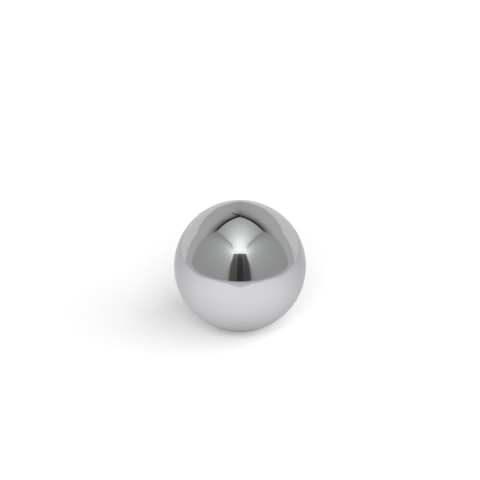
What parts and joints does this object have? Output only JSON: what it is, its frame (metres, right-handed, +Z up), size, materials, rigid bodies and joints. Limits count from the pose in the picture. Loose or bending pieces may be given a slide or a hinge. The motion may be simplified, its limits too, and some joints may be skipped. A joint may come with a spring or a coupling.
{
  "type": "steel ball",
  "caption": "Solid steel ball, a true sphere with a mirror polish all over, that rolls or rests in a cup or ring as a loose bearing ball, weight or desk piece.",
  "frame": {"origin": "centre of the ball", "axes": "+Z up, away from the surface or seat that carries the ball; a ball is the same along every axis, so +X and +Y are free"},
  "size_m": [0.0254, 0.0254, 0.0254],
  "materials": {
    "polished_steel": "polished"
  },
  "bodies": {
    "root": {"ball": "polished_steel"}
  },
  "joints": []
}
